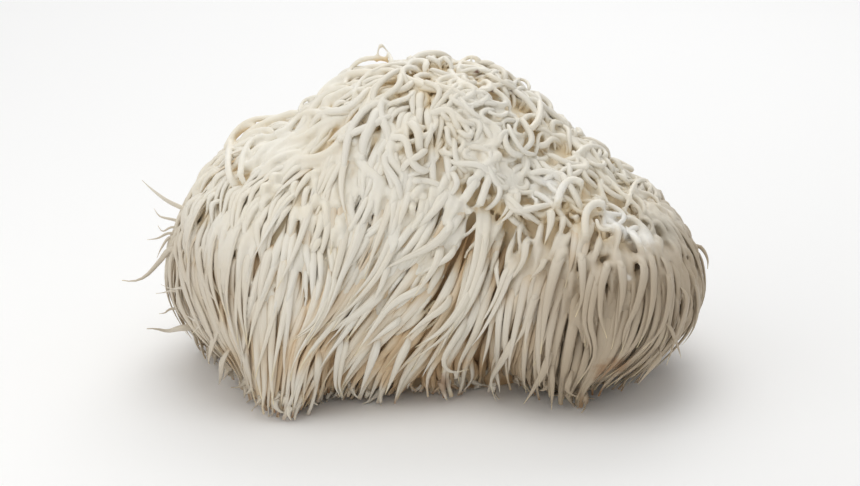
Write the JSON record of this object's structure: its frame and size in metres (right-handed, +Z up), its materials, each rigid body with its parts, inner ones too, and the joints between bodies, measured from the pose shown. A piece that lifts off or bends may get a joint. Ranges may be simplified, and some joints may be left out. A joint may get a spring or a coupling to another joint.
{
  "type": "lions mane mushroom",
  "caption": "Lobed cream fruiting body with a mane of long hanging spines under a tangle of short curly ones, cut off flat at its base.",
  "frame": {"origin": "under the middle of the body's box, on the surface that its cut base rests on", "axes": "+X to the right along the body's length as seen from the front, -Y to the front, +Z up"},
  "size_m": [0.1558, 0.0965, 0.0881],
  "materials": {
    "mushroom_flesh": "matte, slightly waxy"
  },
  "bodies": {
    "root": {"fruiting_body": "mushroom_flesh"}
  },
  "joints": []
}
